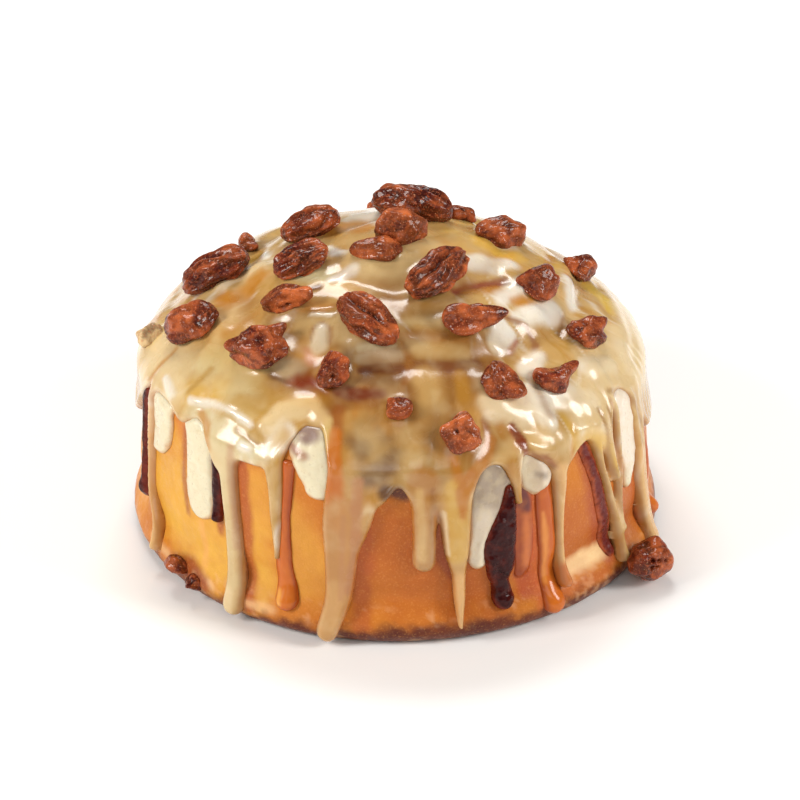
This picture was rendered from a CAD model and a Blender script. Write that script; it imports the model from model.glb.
# %% [markdown]
# # A sticky bun
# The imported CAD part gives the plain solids: a coiled roll, its icing, a few tongues of frosting,
# filling and syrup, and candied pecans. This lesson dresses each of them in finer mesh and in
# materials made of nodes. The part is the fixed frame, so every piece is made where its solid is.

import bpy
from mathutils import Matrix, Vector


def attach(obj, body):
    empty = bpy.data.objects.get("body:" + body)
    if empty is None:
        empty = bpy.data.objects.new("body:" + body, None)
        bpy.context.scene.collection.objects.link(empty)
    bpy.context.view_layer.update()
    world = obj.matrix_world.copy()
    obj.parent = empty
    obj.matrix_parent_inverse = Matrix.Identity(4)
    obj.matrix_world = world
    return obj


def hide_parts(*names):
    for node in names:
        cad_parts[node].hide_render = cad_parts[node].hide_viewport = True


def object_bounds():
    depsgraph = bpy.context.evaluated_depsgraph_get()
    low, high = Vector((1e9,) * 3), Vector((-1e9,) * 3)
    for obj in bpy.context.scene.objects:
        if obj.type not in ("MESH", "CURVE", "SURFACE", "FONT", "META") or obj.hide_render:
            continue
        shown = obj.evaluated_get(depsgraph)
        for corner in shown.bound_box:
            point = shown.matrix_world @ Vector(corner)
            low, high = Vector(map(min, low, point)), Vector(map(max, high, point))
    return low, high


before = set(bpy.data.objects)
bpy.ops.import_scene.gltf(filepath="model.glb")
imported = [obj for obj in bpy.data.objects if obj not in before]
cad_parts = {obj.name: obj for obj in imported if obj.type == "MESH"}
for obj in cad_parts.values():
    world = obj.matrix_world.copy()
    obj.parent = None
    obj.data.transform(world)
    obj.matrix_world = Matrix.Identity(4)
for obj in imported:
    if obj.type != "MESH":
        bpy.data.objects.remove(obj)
cad_box = [list(corner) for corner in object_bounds()]
print("CAD nodes:", len(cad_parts), "box:", cad_box)

# %% What the lesson works with
import math
import random

import bmesh
import bpy
import numpy as np
from mathutils import Matrix, Vector, noise

MM = 0.001
print("lengths are in metres, so a millimetre is", MM)

# %% [markdown]
# ## Camera and light
# A photograph's place is found once, from the outline of the object in it: here the camera stands
# 0.7 m away and looks down by 31 degrees. A long lens keeps the roll's sides nearly parallel.
# The light is a studio's: broad soft lamps, which a glossy glaze mirrors as white streaks.

# %% Camera
CAMERA_DISTANCE = 0.70
CAMERA_HEIGHT_ANGLE = math.radians(31.4)
FOCUS_IN_PIXELS = 3183.6
PIXELS_BELOW_MIDDLE = 102
PHOTO_PIXELS = 800
SENSOR = 36.0

camera_data = bpy.data.cameras.new("camera")
camera_data.sensor_width = SENSOR
camera_data.lens = FOCUS_IN_PIXELS * SENSOR / PHOTO_PIXELS
camera = bpy.data.objects.new("camera", camera_data)
bpy.context.scene.collection.objects.link(camera)
camera.location = (
    0.00033,
    -CAMERA_DISTANCE * math.cos(CAMERA_HEIGHT_ANGLE),
    CAMERA_DISTANCE * math.sin(CAMERA_HEIGHT_ANGLE),
)
pitch = CAMERA_HEIGHT_ANGLE - math.atan(PIXELS_BELOW_MIDDLE / FOCUS_IN_PIXELS)
camera.rotation_euler = (math.pi / 2 - pitch, 0, 0)
bpy.context.scene.camera = camera
print("lens:", round(camera_data.lens, 1), "mm, pitch:", round(math.degrees(pitch), 2))


# %% Tones with names
TONES = {
    "milk": (246, 241, 230), "cream": (234, 209, 162), "khaki": (210, 182, 130),
    "grey": (190, 176, 158), "peach": (234, 190, 130), "rose": (198, 148, 114),
    "yellow": (230, 190, 72), "gold": (220, 174, 72), "amber": (200, 136, 50),
    "ochre": (188, 144, 62), "toffee": (160, 110, 56), "rust": (148, 68, 34), "bark": (96, 52, 42),
}


def linear(tone):
    """A tone's name, or a screen colour from 0 to 255, as the linear light of shaders."""
    shares = np.array(TONES.get(tone, tone)) / 255
    return np.where(shares <= 0.04045, shares / 12.92, ((shares + 0.055) / 1.055) ** 2.4)


print("mid grey in linear light:", linear((128, 128, 128)).round(3))


# %% Studio: a soft room, a pale floor and broad lamps
def lamp(name, place, size, watts, colour):
    data = bpy.data.lights.new(name, "AREA")
    data.shape = "RECTANGLE"
    data.size, data.size_y = size
    data.energy = watts
    data.color = colour
    obj = bpy.data.objects.new(name, data)
    obj.location = place
    aim = Vector((0, 0, 0.04)) - Vector(place)
    obj.rotation_euler = aim.to_track_quat("-Z", "Y").to_euler()
    bpy.context.scene.collection.objects.link(obj)


world = bpy.data.worlds.new("room")
world.use_nodes = True
world.node_tree.nodes["Background"].inputs["Color"].default_value = (1.0, 0.98, 0.95, 1)
world.node_tree.nodes["Background"].inputs["Strength"].default_value = 0.16
bpy.context.scene.world = world
bpy.context.scene.view_settings.view_transform = "Standard"
lamp("left window", (-0.8, -0.35, 0.55), (0.26, 0.46), 6.8, (1.0, 0.97, 0.93))
lamp("right window", (0.75, -0.25, 0.5), (0.26, 0.42), 5.2, (1.0, 0.98, 0.95))
lamp("skylight", (-0.1, 0.5, 0.9), (0.6, 0.3), 6.4, (1.0, 0.99, 0.97))
lamp("front", (0.1, -1.0, 0.75), (0.8, 0.4), 2.2, (1.0, 0.98, 0.95))
lamp("strip", (-0.45, -0.85, 0.3), (0.05, 0.5), 0.4, (1.0, 0.99, 0.97))

floor_mesh = bpy.data.meshes.new("floor")
bm = bmesh.new()
bmesh.ops.create_grid(bm, x_segments=1, y_segments=1, size=4)
bm.to_mesh(floor_mesh)
bm.free()
floor_material = bpy.data.materials.new("pale floor")
floor_material.use_nodes = True
floor_shader = floor_material.node_tree.nodes["Principled BSDF"]
floor_shader.inputs["Base Color"].default_value = (0.93, 0.93, 0.925, 1)
floor_shader.inputs["Roughness"].default_value = 0.9
floor_mesh.materials.append(floor_material)
floor = bpy.data.objects.new("floor", floor_mesh)
bpy.context.scene.collection.objects.link(floor)

# %% [markdown]
# ## The form
# A bun that rose in a round tin has a nearly straight wall and a soft dome. One outline, turned
# round the upright axis, describes it. Any place on it then has two numbers: an azimuth in degrees
# from +X towards +Y, and the way in millimetres down from the top. Icing, drips and nuts are laid
# out in those two numbers, and one function wraps them on to the roll.

# %% The iced outline
FOOT_RADIUS, FOOT_ROUNDING, FOOT_TUCK = 57.5, 4.0, 3.6
SHOULDER_RADIUS, SHOULDER_HEIGHT, ICED_HEIGHT = 53.8, 39.0, 66.8
DOME_ROUNDNESS, DOME_FULLNESS, WALL_FLARE = 1.7, 0.8, 1.6
LEAN, LEAN_HEIGHTS = 2.1, (20, 50)
FORM_STEPS = 400


def ramp(value, start, end):
    """A smooth step from 0 at start to 1 at end."""
    share = np.clip((value - start) / (end - start), 0, 1)
    return share * share * (3 - 2 * share)


def softened(values, reach=9):
    """A running mean, which rounds the crease of the shoulder and leaves both ends in place."""
    before, after = 2 * values[0] - values[reach:0:-1], 2 * values[-1] - values[-2:-reach - 2:-1]
    window = np.ones(2 * reach + 1) / (2 * reach + 1)
    return np.convolve(np.concatenate([before, values, after]), window, mode="valid")


def iced_outline():
    share = np.linspace(0, 1, FORM_STEPS)
    dome_rise = (ICED_HEIGHT - SHOULDER_HEIGHT) * (1 - share**DOME_ROUNDNESS) ** DOME_FULLNESS
    wall_height = SHOULDER_HEIGHT * (1 - share[1:])
    straight = SHOULDER_HEIGHT - FOOT_ROUNDING
    fall = np.clip((SHOULDER_HEIGHT - wall_height) / straight, 0, 1)
    foot = np.clip((FOOT_ROUNDING - wall_height) / FOOT_ROUNDING, 0, 1)
    wall_radius = SHOULDER_RADIUS + (FOOT_RADIUS - SHOULDER_RADIUS) * fall**WALL_FLARE
    wall_radius = wall_radius - FOOT_TUCK * (1 - np.sqrt(1 - foot**2))
    radius = np.concatenate([SHOULDER_RADIUS * share, wall_radius])
    height = np.concatenate([SHOULDER_HEIGHT + dome_rise, wall_height])
    way = np.concatenate([[0], np.cumsum(np.hypot(np.diff(radius), np.diff(height)))])
    even = np.linspace(0, way[-1], 2 * FORM_STEPS)
    radius, height = (softened(np.interp(even, way, values)) for values in (radius, height))
    out = softened(-np.gradient(height, even))
    up = softened(np.gradient(radius, even))
    length = np.hypot(out, up)
    return even, radius, height, out / length, up / length


WAY, RADIUS, HEIGHT, NORMAL_OUT, NORMAL_UP = iced_outline()
WAY_END = WAY[-1]
print("way from top to base:", round(float(WAY_END), 1), "mm")


# %% Wrapping a place on to the form
def on_form(way, values):
    return np.interp(way, WAY, values)


def flat_place(azimuth, way):
    """The x and y of a place on the unrolled top, seen from above."""
    return way * np.cos(np.radians(azimuth)), way * np.sin(np.radians(azimuth))


def wrap(azimuth, way, lift):
    """Points in metres that lie lift millimetres off the iced form, as an array of rows."""
    angle = np.radians(azimuth)
    radius = on_form(way, RADIUS)
    height = on_form(way, HEIGHT)
    leaning = ramp(height, *LEAN_HEIGHTS) * radius / SHOULDER_RADIUS
    radius = radius + lift * on_form(way, NORMAL_OUT) - LEAN * np.cos(angle) * leaning
    height = height + lift * on_form(way, NORMAL_UP)
    return np.stack([radius * np.cos(angle), radius * np.sin(angle), height], axis=-1) * MM


def mm_per_degree(way):
    """Millimetres round the roll for one degree of azimuth, and never quite zero at the top."""
    return np.maximum(np.radians(1) * on_form(way, RADIUS), 0.02)


def degrees_between(azimuth, other):
    return (azimuth - other + 180) % 360 - 180


print("one degree of the wall:", round(float(mm_per_degree(80)), 2), "mm")

# %% [markdown]
# ## Relief
# The dough was rolled up before it was baked, so a spiral valley runs over the dome. The wall has
# a lip at its foot, where the dough sat in the tin's corner, and no side is a true circle. All of
# it is worked out as a lift off the form, which keeps each layer exactly on the one below.

# %% Valleys, bulges and the lip
COIL_PITCH, COIL_FRONT_RADIUS = 17.5, 36.0
COIL_DEPTH, COIL_WIDTH = 2.4, 2.6
COIL_STARTS, COIL_ENDS = (4, 12), (50, 45)
BROAD_BULGE, SMALL_BULGE = 0.35, 0.25
SLIM_SIDE, SLIM_SIDE_SPREAD = 1.6, 26
LIP_HOLLOW, LIP_HOLLOW_HEIGHT, LIP_HOLLOW_SPREAD = 1.3, 11, 4
ICING_ON_DOME, ICING_ON_WALL = 1.25, 1.7


def coil_valley(azimuth, way):
    """How deep the valley between two turns of the roll is, from 0 on a turn to 1 in a valley."""
    radius = on_form(way, RADIUS)
    turns = (radius - COIL_FRONT_RADIUS) / COIL_PITCH - (azimuth + 90) / 360
    beside = (turns - np.round(turns)) * COIL_PITCH / COIL_WIDTH
    return np.exp(-(beside**2)) * ramp(radius, *COIL_STARTS) * ramp(radius, *COIL_ENDS)


def unevenness(azimuth, way):
    """Broad, shallow bulges, and a slimmer +X side."""
    angle = np.radians(azimuth)
    bulge = BROAD_BULGE * np.sin(2 * angle + 0.6) + SMALL_BULGE * np.sin(5 * angle + way / 23)
    slimmer = -SLIM_SIDE * np.exp(-((azimuth / SLIM_SIDE_SPREAD) ** 2)) * ramp(way, 58, 74)
    return (bulge * ramp(way, 8, 40) + slimmer) * ramp(way, WAY_END, WAY_END - 8)


def under_icing(way):
    """The iced form less the icing, which ends on the wall."""
    return -ICING_ON_DOME * ramp(way, 76, 60)


def dough_lift(azimuth, way):
    height = on_form(way, HEIGHT)
    from_hollow = (height - LIP_HOLLOW_HEIGHT) / LIP_HOLLOW_SPREAD
    hollow = np.exp(-(from_hollow**2)) * ramp(height, 3, 8)
    deeper = 1 + 0.6 * np.exp(-(((azimuth + 44) / 14) ** 2))
    relief = -COIL_DEPTH * coil_valley(azimuth, way) - LIP_HOLLOW * hollow * deeper
    return under_icing(way) + relief + unevenness(azimuth, way)


print("valley under the icing:", COIL_DEPTH, "mm; hollow over the lip:", LIP_HOLLOW, "mm")


# %% Noise for a whole array of points
def cloudy(points, size, octaves=3, seed=0):
    """Soft random values, about -1 to 1, whose largest patches are size millimetres across."""
    shift = Vector((seed * 7.3, seed * -3.1, seed * 5.7))
    scale = 1 / (size * MM)
    return np.array([noise.fractal(Vector(p) * scale + shift, 1.0, 2.0, octaves) for p in points])


print("a few cloudy values:", cloudy([(0, 0, 0), (0.01, 0, 0), (0, 0.02, 0)], 9).round(2))

# %% [markdown]
# ## Strokes
# Drips, tongues and stains are all drawn as strokes: a line of places, each with half a width.
# They are kept as tables of text, with one stroke on a line, which is easy to read and to change.
# The depth of a point inside a stroke is the one number that everything else follows from: where
# the piece ends, how its edge is rounded, and how its colour thins out.


# %% Reading a table
def table(text):
    """Rows of a table: the words before a colon, and the places after it, with commas between."""
    rows = []
    for line in text.strip().splitlines():
        head, _, places = line.rpartition(":")
        places = [tuple(map(float, place.split())) for place in places.split(",")]
        rows.append((head.split(), places))
    return rows


def strokes(text):
    return [places for _, places in table(text)]


print("a stroke read from text:", strokes("-63 64 1.6, -63 71.5 0.9"))


# %% Depth inside a stroke
def line_depth(beside, below, start, end, half_start, half_end):
    """How far points lie inside a tapering line from start to end; below zero outside it."""
    run = np.array(end) - np.array(start)
    beside, below = beside - start[0], below - start[1]
    along = np.clip((beside * run[0] + below * run[1]) / max(run @ run, 1e-9), 0, 1)
    distance = np.hypot(beside - along * run[0], below - along * run[1])
    return half_start + (half_end - half_start) * along - distance


def curved(stroke, parts=4):
    """The same stroke as a smooth curve: more places on a Catmull-Rom spline through its own."""
    rows = [np.array(row, float) for row in (stroke[0], *stroke, stroke[-1])]
    places = []
    for before, start, end, after in zip(rows, rows[1:], rows[2:], rows[3:]):
        for share in np.arange(parts) / parts:
            bend = (2 * before - 5 * start + 4 * end - after) * share**2
            swing = (3 * start - before - 3 * end + after) * share**3
            places.append(tuple(0.5 * (2 * start + (end - before) * share + bend + swing)))
    return (*places, tuple(rows[-1]))


def stroke_depth(azimuth, way, stroke):
    """For a stroke of azimuth, way, half width on the wall or the shoulder."""
    depth = np.full(np.shape(way), -1e3)
    for (az_a, way_a, half_a), (az_b, way_b, half_b) in zip(stroke, stroke[1:]):
        scale = mm_per_degree((way_a + way_b) / 2)
        beside = degrees_between(azimuth, az_a) * scale
        end = ((az_b - az_a) * scale, way_b)
        depth = np.maximum(depth, line_depth(beside, way, (0, way_a), end, half_a, half_b))
    return depth


def top_depth(azimuth, way, stroke):
    """For a stroke of x, y, half width on the unrolled top, seen from above."""
    x, y = flat_place(azimuth, way)
    depth = np.full(np.shape(way), -1e3)
    for (x_a, y_a, half_a), (x_b, y_b, half_b) in zip(stroke, stroke[1:]):
        depth = np.maximum(depth, line_depth(x, y, (x_a, y_a), (x_b, y_b), half_a, half_b))
    return depth


def blend_max(a, b, reach):
    """The larger of two depths, rounded where they cross so that a drip has a web at its root."""
    mix = np.clip(0.5 + 0.5 * (a - b) / reach, 0, 1)
    return b + (a - b) * mix + reach * mix * (1 - mix)


print("2 mm beside a line 3 mm wide:", line_depth(2, 5, (0, 0), (0, 10), 1.5, 1.5))


# %% Laying colours over each other
def marks(text):
    """Marks of a table: each a colour, a strength, a softness and a stroke."""
    found = []
    for (colour, strength, softness), stroke in table(text):
        tone = colour if colour in TONES else tuple(float(part) for part in colour.split("/"))
        found.append((tone, float(strength), float(softness), stroke))
    return found


def one_tone(tone, points):
    return np.tile(linear(tone), (len(points), 1))


def over(ground, tone, cover):
    """Lays a tone over ground colours, by a share for each point."""
    cover = np.reshape(cover, (-1, 1))
    return ground * (1 - cover) + linear(tone) * cover


def painted(azimuth, way, ground, marks_on_it, points, depth_of=stroke_depth):
    """Lays marks over ground colours, with soft, slightly wandering edges."""
    wobble = cloudy(points, 5, 3, seed=11)
    for tone, strength, softness, stroke in marks_on_it:
        depth = depth_of(azimuth, way, stroke) + (0.25 + 0.5 * wobble) * softness
        ground = over(ground, tone, strength * ramp(depth, -0.75 * softness, 0.75 * softness))
    return ground


print("half milk over black:", over(np.zeros((1, 3)), "milk", 0.5).round(2))

# %% Making an object of a bmesh
pieces = []


def new_piece(name, bm, recipe, replaced, tones):
    """Makes the object, with a colour for each point, which the recipe reads by its slot."""
    mesh = bpy.data.meshes.new(name)
    bm.to_mesh(mesh)
    bm.free()
    places = np.empty(3 * len(mesh.vertices), np.float32)
    mesh.vertices.foreach_get("co", places)
    mesh.vertices.foreach_set("co", np.clip(places.reshape(-1, 3), *cad_box).ravel())
    mesh.shade_smooth()
    mesh.materials.append(recipe.material)
    rows = np.ones((len(mesh.vertices), 4), np.float32)
    rows[:, :3] = tones
    layer = mesh.attributes.new(recipe.slot, "FLOAT_COLOR", "POINT")
    layer.data.foreach_set("color", rows.ravel())
    obj = bpy.data.objects.new(name, mesh)
    bpy.context.scene.collection.objects.link(obj)
    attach(obj, "root")
    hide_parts(replaced)
    pieces.append(obj)
    return obj


def face_outwards(bm):
    bmesh.ops.recalc_face_normals(bm, faces=bm.faces[:])
    if bm.calc_volume(signed=True) < 0:
        bmesh.ops.reverse_faces(bm, faces=bm.faces[:])


def triangles(obj):
    return sum(len(face.vertices) - 2 for face in obj.data.polygons)


# %% Short names for material nodes
class Recipe:
    """A Principled material for one slot, with one line for each layer that goes into it."""

    def __init__(self, name, slot, **settings):
        self.slot = slot
        self.material = bpy.data.materials.new(name)
        self.material.use_nodes = True
        self.tree = self.material.node_tree
        self.shader = self.tree.nodes["Principled BSDF"]
        self.place = self.tree.nodes.new("ShaderNodeTexCoord").outputs["Object"]
        for socket, value in settings.items():
            self.shader.inputs[socket.replace("_", " ")].default_value = value

    def node(self, kind, **settings):
        made = self.tree.nodes.new(kind)
        for name, value in settings.items():
            setattr(made, name, value)
        return made

    def link(self, source, target):
        self.tree.links.new(source, target)

    def tones(self):
        return self.node("ShaderNodeAttribute", attribute_name=self.slot).outputs["Color"]

    def texture(self, kind, size):
        """A texture node whose pattern repeats about every size millimetres."""
        texture = self.node(kind)
        texture.inputs["Scale"].default_value = 1 / (size * MM)
        self.link(self.place, texture.inputs["Vector"])
        return texture

    def cloud(self, size, detail=3.0):
        texture = self.texture("ShaderNodeTexNoise", size)
        texture.inputs["Detail"].default_value = detail
        return texture.outputs["Fac"]

    def cells(self, size):
        return self.texture("ShaderNodeTexVoronoi", size).outputs["Distance"]

    def spread(self, value, low, high, to_low=0.0, to_high=1.0):
        """Stretches the part of a value between low and high over a new range."""
        node = self.node("ShaderNodeMapRange", interpolation_type="SMOOTHSTEP")
        ends = {"From Min": low, "From Max": high, "To Min": to_low, "To Max": to_high}
        for socket, number in ends.items():
            node.inputs[socket].default_value = number
        self.link(value, node.inputs["Value"])
        return node.outputs["Result"]

    def speckled(self, base, tone, size, detail, low, high, strength):
        """Lays patches of a tone, about size millimetres across, over a base colour."""
        node = self.node("ShaderNodeMix", data_type="RGBA")
        share, first, second = (node.inputs[place] for place in (0, 6, 7))
        self.link(self.spread(self.cloud(size, detail), low, high, 0.0, strength), share)
        self.link(base, first)
        second.default_value = (*linear(tone), 1)
        return node.outputs[2]

    def uneven_gloss(self, low, high, size, detail=3.0):
        self.use("Roughness", self.spread(self.cloud(size, detail), 0.3, 0.7, low, high))

    def bumps(self, *layers):
        """Stacks bumps: each layer is a height and how deep it is in millimetres."""
        normal = None
        for height, depth in layers:
            node = self.node("ShaderNodeBump")
            node.inputs["Strength"].default_value = 1.0
            node.inputs["Distance"].default_value = depth * MM
            self.link(height, node.inputs["Height"])
            if normal is not None:
                self.link(normal, node.inputs["Normal"])
            normal = node.outputs["Normal"]
        self.link(normal, self.shader.inputs["Normal"])

    def use(self, socket, value):
        self.link(value, self.shader.inputs[socket])


print("recipes mix noise, cells and stored tones into one shader")

# %% [markdown]
# ## The roll
# A spun sheet of rings makes the roll: its points are wrapped on the form, and fine noise wrinkles
# the crust. Baked dough isn't one colour: it is golden where it stayed in the steam of the tin's
# rim, browner in front, and almost black along the foot, where sugar ran down and burnt.

# %% Crust material
crust = Recipe(
    "golden crust", "dough", Roughness=0.42, IOR=1.45, Specular_IOR_Level=0.3,
    Coat_Weight=0.1, Coat_Roughness=0.2,
)
mottled = crust.speckled(crust.tones(), (172, 84, 26), 6, 4, 0.35, 0.7, 0.22)
crust.use("Base Color", crust.speckled(mottled, (230, 160, 84), 0.45, 2, 0.5, 0.75, 0.22))
crust.uneven_gloss(0.3, 0.54, 1.4)
crust.bumps((crust.cloud(0.4, 2), 0.05), (crust.cloud(1.6, 4), 0.12), (crust.cloud(9, 3), 0.4))
print("crust nodes:", len(crust.tree.nodes))

# %% Where the crust is stained: colour, strength, softness: azimuth, way, half width
CRUST_MARKS = marks("""
228/174/62 0.75 8: -165 76 6, -150 80 10, -130 86 10
222/160/62 0.7 4: -122 70 4, -108 86 6
224/152/50 0.8 6: 178 74 5, 176 88 6
224/152/50 0.8 6: -178 74 5, -170 88 6
236/184/78 0.5 3: -150 88 3, -140 90 3, -120 92 3
172/86/24 0.85 7: -94 78 7, -84 84 8, -72 90 6
194/108/36 0.6 4: -92 88 5, -84 93 5
182/96/36 0.8 6: -58 78 6, -48 84 6, -30 86 6
172/78/36 0.85 1.1: -126.4 66 1.2, -124.4 80 1.3, -122.8 97 1.5
176/84/38 0.7 1.5: -97.6 72 1.4, -97.2 85 1.6, -97.6 97 1.4
150/66/32 0.8 0.8: -82 72 0.8, -80.6 82 0.8, -78.8 86 0.6
60/38/44 0.9 1: -91.4 66 1.4, -88.6 66.6 1.5
150/72/44 0.7 0.8: -144 64 0.6, -143.6 75 0.7, -142 83 0.6
184/100/50 0.5 1.8: -162 64 1.4, -161.5 76 1.4, -162 90 1.2
160/72/40 0.8 1: -133 68 0.8, -132.4 78 1.2, -131.4 83 0.8
236/172/96 0.6 0.6: -137.4 84 0.7, -136.2 93 0.9
176/76/40 0.9 1.6: -63.4 71 1.8, -62.4 82 2.4, -61 92 2.2
150/60/40 0.7 0.7: -61.6 74 0.4, -61.4 90 0.4
104/54/48 0.9 0.8: -62.4 71.5 1, -60.2 73 0.9
190/88/40 0.8 1.6: -58.4 72 1.6, -57.8 86 1.8, -57 98 2.4
160/66/40 0.75 1.8: -44 66 2, -41.6 76 2.4, -40.6 86 2.4, -37.6 94 1.6
248/212/156 0.95 1.4: -52 92.4 1.1, -46 91.6 1.7, -39.5 92 1.6
184/92/40 0.7 1.2: -53 96 1, -39 96 1
190/96/44 0.7 2: -28 74 2, -26.4 84 1.6, -23 92 1.4
242/196/140 0.65 1: -125 96.6 0.6, -117 96.4 0.8
242/200/150 0.65 1: -138 95.6 0.6, -133 96.4 0.8
242/206/150 0.6 1: -156 95.6 0.6, -148 96 0.8
146/58/30 0.85 1.6: -146 97 1.6, -140 95.6 2.4, -135.4 97 1.6
""")
print("stains:", len(CRUST_MARKS))

# %% The roll's mesh
CRUST_COLUMNS = 460
DOME_RING_STEP = 4.0
WALL_RING_STEP = 0.6
WALL_RINGS_FROM = 50.0


def flat_disc(ways, columns):
    """A flat round sheet: one spoke, with a point at each way, is spun round its middle."""
    bm = bmesh.new()
    bmesh.ops.create_vert(bm, co=(0, 0, 0))
    for way in ways:
        bmesh.ops.create_vert(bm, co=(way, 0, 0))
    bm.verts.ensure_lookup_table()
    spoke = [bm.edges.new((a, b)) for a, b in zip(bm.verts[:-1], bm.verts[1:])]
    bmesh.ops.spin(
        bm, geom=bm.verts[:] + spoke, cent=(0, 0, 0), axis=(0, 0, 1),
        angle=math.tau, steps=columns, use_merge=True,
    )
    bmesh.ops.remove_doubles(bm, verts=bm.verts[:], dist=ways[0] / columns)
    return bm


def sheet_places(bm):
    """Azimuth and way of each point of a flat sheet."""
    flat = np.array([vert.co[:2] for vert in bm.verts])
    return np.degrees(np.arctan2(flat[:, 1], flat[:, 0])), np.hypot(flat[:, 0], flat[:, 1])


def set_points(bm, points):
    for vert, point in zip(bm.verts, points):
        vert.co = Vector(point)


dome_ways = list(np.arange(DOME_RING_STEP, WALL_RINGS_FROM, DOME_RING_STEP))
wall_ways = list(np.arange(WALL_RINGS_FROM, WAY_END, WALL_RING_STEP))
bm = flat_disc([float(way) for way in dome_ways + wall_ways] + [WAY_END], CRUST_COLUMNS)
azimuth, way = sheet_places(bm)
way = np.minimum(way, WAY_END)
points = wrap(azimuth, way, dough_lift(azimuth, way))
wrinkles = 0.16 * cloudy(points, 7, 4, seed=1) + 0.05 * cloudy(points, 1.6, 3, seed=2)
inside_box = ramp(way, WAY_END, WAY_END - 5)
points = wrap(azimuth, way, dough_lift(azimuth, way) + (wrinkles - 0.12) * inside_box)
points[way > WAY_END - 0.01, 2] = 0
set_points(bm, points)
bmesh.ops.contextual_create(bm, geom=[edge for edge in bm.edges if edge.is_boundary])
face_outwards(bm)
print("crust points:", len(bm.verts))

# %% The roll's colour
DARK_RIM = (88, 34, 20)
RIM_FROM = 95.7
RIM_FADE = 3.0
ground = one_tone((202, 120, 34), points)
behind = ramp(azimuth, -20, 0) * ramp(azimuth, 179.9, 170)
for colour, size, seed in (((226, 168, 62), 22, 8), ((176, 90, 30), 17, 9)):
    patches = ramp(cloudy(points, size, 3, seed=seed), 0.05, 0.4)
    ground = over(ground, colour, 0.8 * patches * behind)
ground = painted(azimuth, way, ground, CRUST_MARKS, points)
burnt_from = RIM_FROM + 1.6 * ramp(azimuth, -112, -124) * ramp(azimuth, -176, -164)
ragged_way = way + 2.0 * cloudy(points, 3.6, 4, seed=3)
ground = over(ground, DARK_RIM, ramp(ragged_way, burnt_from, burnt_from + RIM_FADE))
on_lip = np.exp(-(((azimuth + 45) / 8) ** 2)) * ramp(way, 87, 90)
patches = np.maximum(ramp(way, 91, 95) * ramp(cloudy(points, 9, 2, seed=7), -0.2, 0.2), on_lip)
sugar = ramp(cloudy(points, 1.7, 2, seed=6) + 0.15 * on_lip, 0.2, 0.5) * patches
ground = over(ground, (240, 190, 140), 0.32 * sugar)
roll = new_piece("crust", bm, crust, "bun", ground)
print("crust triangles:", triangles(roll))

# %% [markdown]
# ## The icing
# Caramel icing was poured on the dome and ran down in drips. It could be sculpted, but its outline
# is easier to describe: a skirt line round the shoulder and a stroke for each drip. A flat grid is
# given that depth as its height and cut by level planes. The first cut is the outline, the others
# give the edge close rings, and then the sheet is doubled and wrapped on the roll.

# %% The skirt between the drips: azimuth, way
ICING_SKIRT = sum(strokes("""
-180 71, -172 74, -165 67, -160 61, -150 61, -144 63, -140 60, -137 61, -132 69, -127 65
-121 65, -117 62, -113 54, -108 54, -105 62, -99 70, -93 69, -90 65, -87 68, -84 70, -80 70
-74.4 69, -72.8 65.4, -70.6 63.2, -68.2 62.8, -66.2 64.2, -64.8 68, -61 62, -57 65, -53 68
-49 68, -46 66, -43 65, -40 66, -36 69, -31 60, -25 60, -20 68, -14 75, -5 76, 6 72, 20 66
35 71, 50 65, 66 69, 82 63, 98 70, 115 66, 130 70, 146 64, 160 69, 170 66, 180 71
"""), [])
print("places along the skirt:", len(ICING_SKIRT))

# %% Drips from root to tip: azimuth, way, half width
ICING_DRIPS = strokes("""
-157.8 58 1.2, -157.8 75 0.7, -157 84 0.6, -153.4 90.6 0.65, -152.3 96 1.2
-131 60 3, -129.5 68 2.1, -128 77 1.9, -126 90 2, -126 97.5 2.4
-118.6 60 2.6, -117.2 68 1.8, -116.6 76 1.3, -116 83.7 0.6
-99 62 6, -101 73 5, -102 80 3.6, -102.4 90 2.8, -104.5 98 2.3
-84.8 64 2.8, -84.6 74 2.4, -84.6 81.6 2.4
-77.5 64 4, -77.6 74 3.1, -77.6 80 2.6, -77.3 85.5 1.5, -77.2 91 1.2, -77.2 97 0.5
-63.3 64 1.6, -63.3 71.5 0.9
-51.5 62 3, -52 70 1.8, -53 77 1.1, -53.5 87 1, -52.7 93 1.5
-39.2 63 1.8, -39.2 71 0.9, -37.9 77 0.8, -35.2 89 0.8, -34.6 95 1.3
-35.4 65 1.8, -35.2 75.6 1.2
-30.8 58 1.6, -30.8 66 0.8, -34.2 81 0.8, -34.4 88 0.8
-19.5 66 3.8, -21.5 73 2.4, -22.6 82 2.1, -22 90 2, -20 98 2
14 68 3, 15 80 2, 15 87 2.2
24 62 4, 26 74 2.6, 25 88 1.8, 25 98 2.2
41 66 2.2, 42 80 1.4
60 62 5, 58 74 3.4, 59 86 2.6, 58 98 2.6
74 64 1.8, 73 84 1.1, 74 92 1.4
96 66 3.2, 97 78 2.3, 97 85 2.3
110 62 2.6, 109 80 1.6, 111 97 1.9
127 66 4.4, 128 78 3.2, 126 90 2.6, 127 98 2.6
141 64 1.6, 141 78 1
157 64 3.2, 158 78 2.2, 157 92 2, 158 97 2.2
174 66 2.4, 173 80 1.7
""")
print("drips:", len(ICING_DRIPS))

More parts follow.
